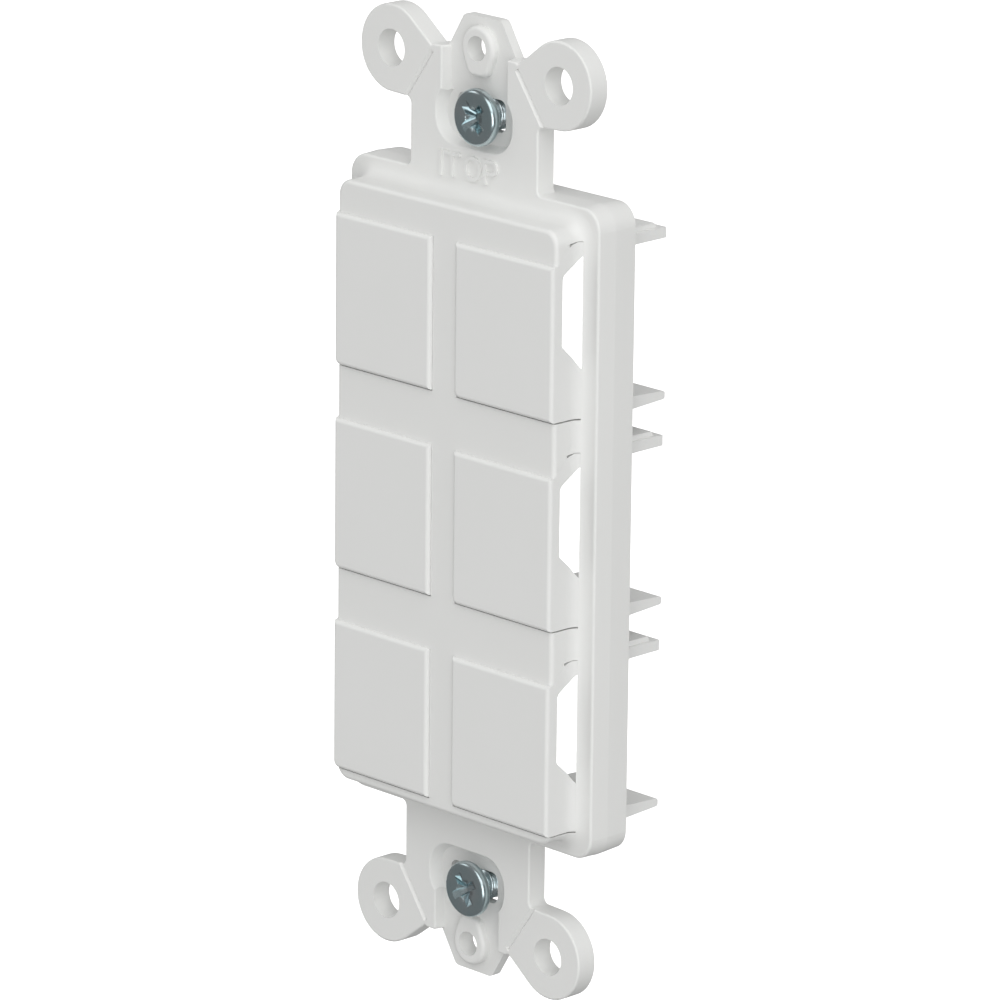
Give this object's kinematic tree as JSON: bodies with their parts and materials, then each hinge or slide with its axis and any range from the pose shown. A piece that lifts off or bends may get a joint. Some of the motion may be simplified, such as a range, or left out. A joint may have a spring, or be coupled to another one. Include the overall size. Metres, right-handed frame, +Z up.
{
  "type": "faceplate frame",
  "caption": "Upright decorator-size device strap with square snap-in port blanks in rows, screw slots, boss holes for a cover plate and snap-off ears, held by pan head screws.",
  "frame": {"origin": "middle of the strap's back plane, halfway between the two holes for the cover plate's screws", "axes": "+X to the right seen from the front, +Y back into the wall box, +Z up; the front faces -Y"},
  "size_m": [0.0372, 0.0177, 0.1032],
  "materials": {
    "frame": "satin white moulded plastic",
    "blank": "satin white moulded plastic",
    "screw": "bright zinc plated steel"
  },
  "bodies": {
    "strap": {"frame": "frame", "blank_top_left": "blank", "blank_top_right": "blank", "blank_middle_left": "blank", "blank_middle_right": "blank", "blank_bottom_left": "blank", "blank_bottom_right": "blank"},
    "upper_screw": {"screw_upper": "screw"},
    "lower_screw": {"screw_lower": "screw"}
  },
  "joints": [
    {"name": "screw_upper_turn", "type": "hinge", "parent": "strap", "child": "upper_screw", "pos_m": [0.00145, 0, 0.04167], "axis": [0, 1, 0], "continuous": true},
    {"name": "screw_lower_turn", "type": "hinge", "parent": "strap", "child": "lower_screw", "pos_m": [0.0012, 0, -0.04167], "axis": [0, 1, 0], "continuous": true}
  ]
}
